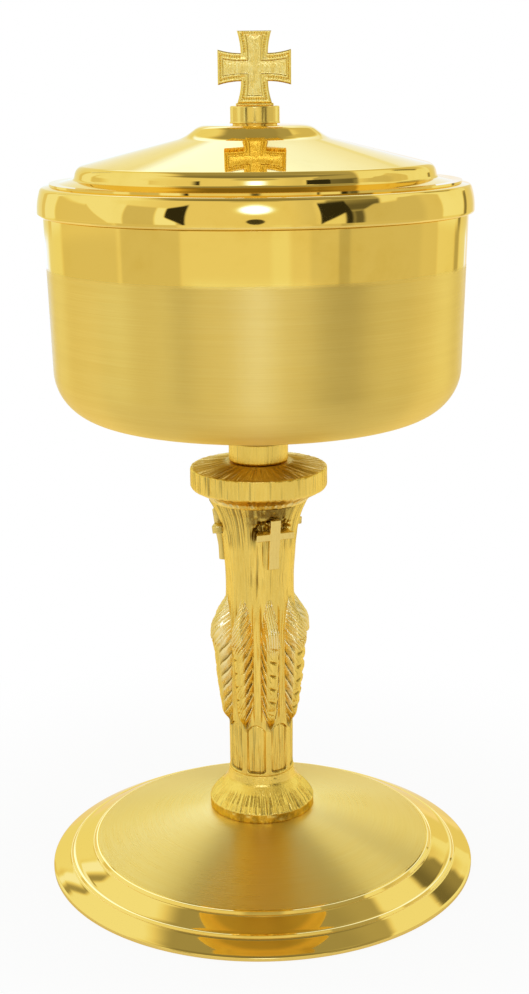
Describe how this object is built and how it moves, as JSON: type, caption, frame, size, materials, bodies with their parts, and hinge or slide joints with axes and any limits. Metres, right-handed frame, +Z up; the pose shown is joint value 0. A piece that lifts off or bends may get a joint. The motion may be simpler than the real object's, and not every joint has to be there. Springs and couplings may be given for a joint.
{
  "type": "ciborium",
  "caption": "Covered cup on a cast stem with wheat ears and relief crosses, with a round spun foot and a lift-off lid that carries a cross finial.",
  "frame": {"origin": "centre of the circle that the foot stands on, at the height of the surface it rests on", "axes": "+Z up along the stem, -Y towards the front of the finial cross, +X to the viewer's right"},
  "size_m": [0.1382, 0.1382, 0.2636],
  "materials": {
    "polished_gilt": "mirror polished gilding",
    "satin_gilt": "brushed satin gilding",
    "cast_gilt": "gilded casting with bark texture",
    "plain_brass": "turned brass, not gilded"
  },
  "bodies": {
    "vessel": {"foot_shell": "satin_gilt", "foot_washer": "plain_brass", "foot_nut": "plain_brass", "tie_rod": "plain_brass", "stem_collar": "cast_gilt", "stem_shaft": "cast_gilt", "stem_capital": "cast_gilt", "neck_ring": "cast_gilt", "cup_boss": "plain_brass", "cup_shell": "satin_gilt"},
    "lid": {"lid_shell": "polished_gilt", "finial_collar": "polished_gilt", "finial_cross": "cast_gilt", "finial_washer": "plain_brass", "finial_screw": "plain_brass"}
  },
  "joints": [
    {"name": "lid_lift", "type": "slide", "parent": "vessel", "child": "lid", "axis": [0, 0, 1], "range_m": [0, 0.12]}
  ]
}
